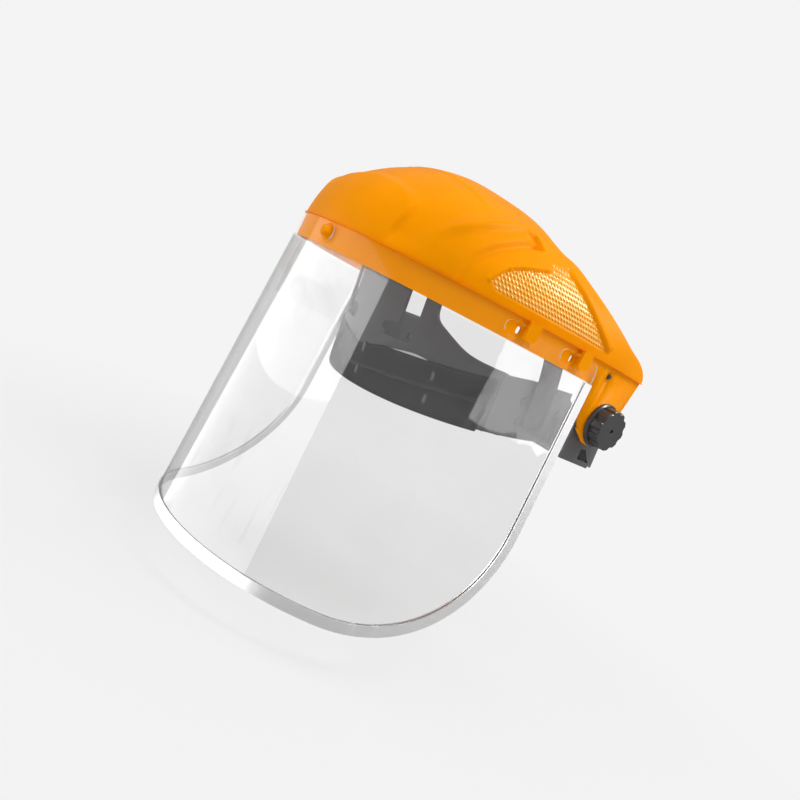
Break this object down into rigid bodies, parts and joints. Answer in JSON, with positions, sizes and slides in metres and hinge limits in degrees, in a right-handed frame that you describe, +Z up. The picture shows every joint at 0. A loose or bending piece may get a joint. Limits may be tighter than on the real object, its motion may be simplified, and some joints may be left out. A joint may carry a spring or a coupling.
{
  "type": "face shield",
  "caption": "Face shield: moulded crown guard with a clear, metal-bound visor that tilts on a ratchet headgear with sweatband, overhead straps and tension knobs",
  "frame": {"origin": "midpoint of the tilt axis between the two pivot bolts, with the crown in its working place", "axes": "+X towards the wearer's left along the tilt axis, -Y to the front, +Z up"},
  "size_m": [0.2568, 0.2842, 0.2697],
  "materials": {
    "crown": "satin moulded, with grained side panels",
    "visor": "clear polished sheet",
    "binding": "bright folded strip",
    "pin": "moulded",
    "headband": "fine moulded grain",
    "bracket": "fine moulded grain",
    "sweatband": "padded, stitched, perforated",
    "knob": "moulded, semi-gloss",
    "nape": "fine moulded grain",
    "washer": "flat ring",
    "steel": "zinc plated",
    "brass": "turned"
  },
  "bodies": {
    "headgear": {"forehead_band": "headband", "sweatband": "sweatband", "left_pivot_bracket": "bracket", "right_pivot_bracket": "bracket", "bracket_rivets": "headband", "left_pivot_bolt": "steel", "right_pivot_bolt": "steel", "left_friction_washer": "washer", "right_friction_washer": "washer", "left_spring_washer": "steel", "right_spring_washer": "steel", "left_cross_strap": "headband", "right_cross_strap": "headband", "cross_strap_pegs": "headband", "left_rear_strap": "headband", "right_rear_strap": "headband", "strap_anchor_rivets": "headband"},
    "crown": {"crown_shell": "crown", "visor": "visor", "visor_binding": "binding", "stop_pins": "pin"},
    "left_knob": {"left_tension_knob": "knob", "left_knob_nut": "brass"},
    "right_knob": {"right_tension_knob": "knob", "right_knob_nut": "brass"},
    "nape_unit": {"nape_housing": "nape", "nape_cover": "nape", "nape_pad": "sweatband", "pawl_spring": "steel"},
    "ratchet": {"ratchet_knob": "knob", "ratchet_pinion": "knob"}
  },
  "joints": [
    {"name": "crown_tilt", "type": "hinge", "parent": "headgear", "child": "crown", "pos_m": [0, 0, 0], "axis": [-1, 0, 0], "range_deg": [-10, 75]},
    {"name": "left_knob_turn", "type": "hinge", "parent": "headgear", "child": "left_knob", "pos_m": [0.1235, 0, 0], "axis": [1, 0, 0], "range_deg": [-270, 90]},
    {"name": "right_knob_turn", "type": "hinge", "parent": "headgear", "child": "right_knob", "pos_m": [-0.1235, 0, 0], "axis": [-1, 0, 0], "range_deg": [-270, 90]},
    {"name": "nape_slide", "type": "slide", "parent": "headgear", "child": "nape_unit", "axis": [0, 0.9848, 0.1736], "range_m": [-0.01, 0.014], "deforming": ["left_rear_strap", "right_rear_strap"]},
    {"name": "ratchet_turn", "type": "hinge", "parent": "nape_unit", "child": "ratchet", "pos_m": [0, 0.09743, -0.01125], "axis": [0, 0.9848, 0.1736], "range_deg": [-115, 161]}
  ],
  "couplings": [
    {"joint": "ratchet_turn", "follows": "nape_slide", "rad_per_m": 200}
  ]
}
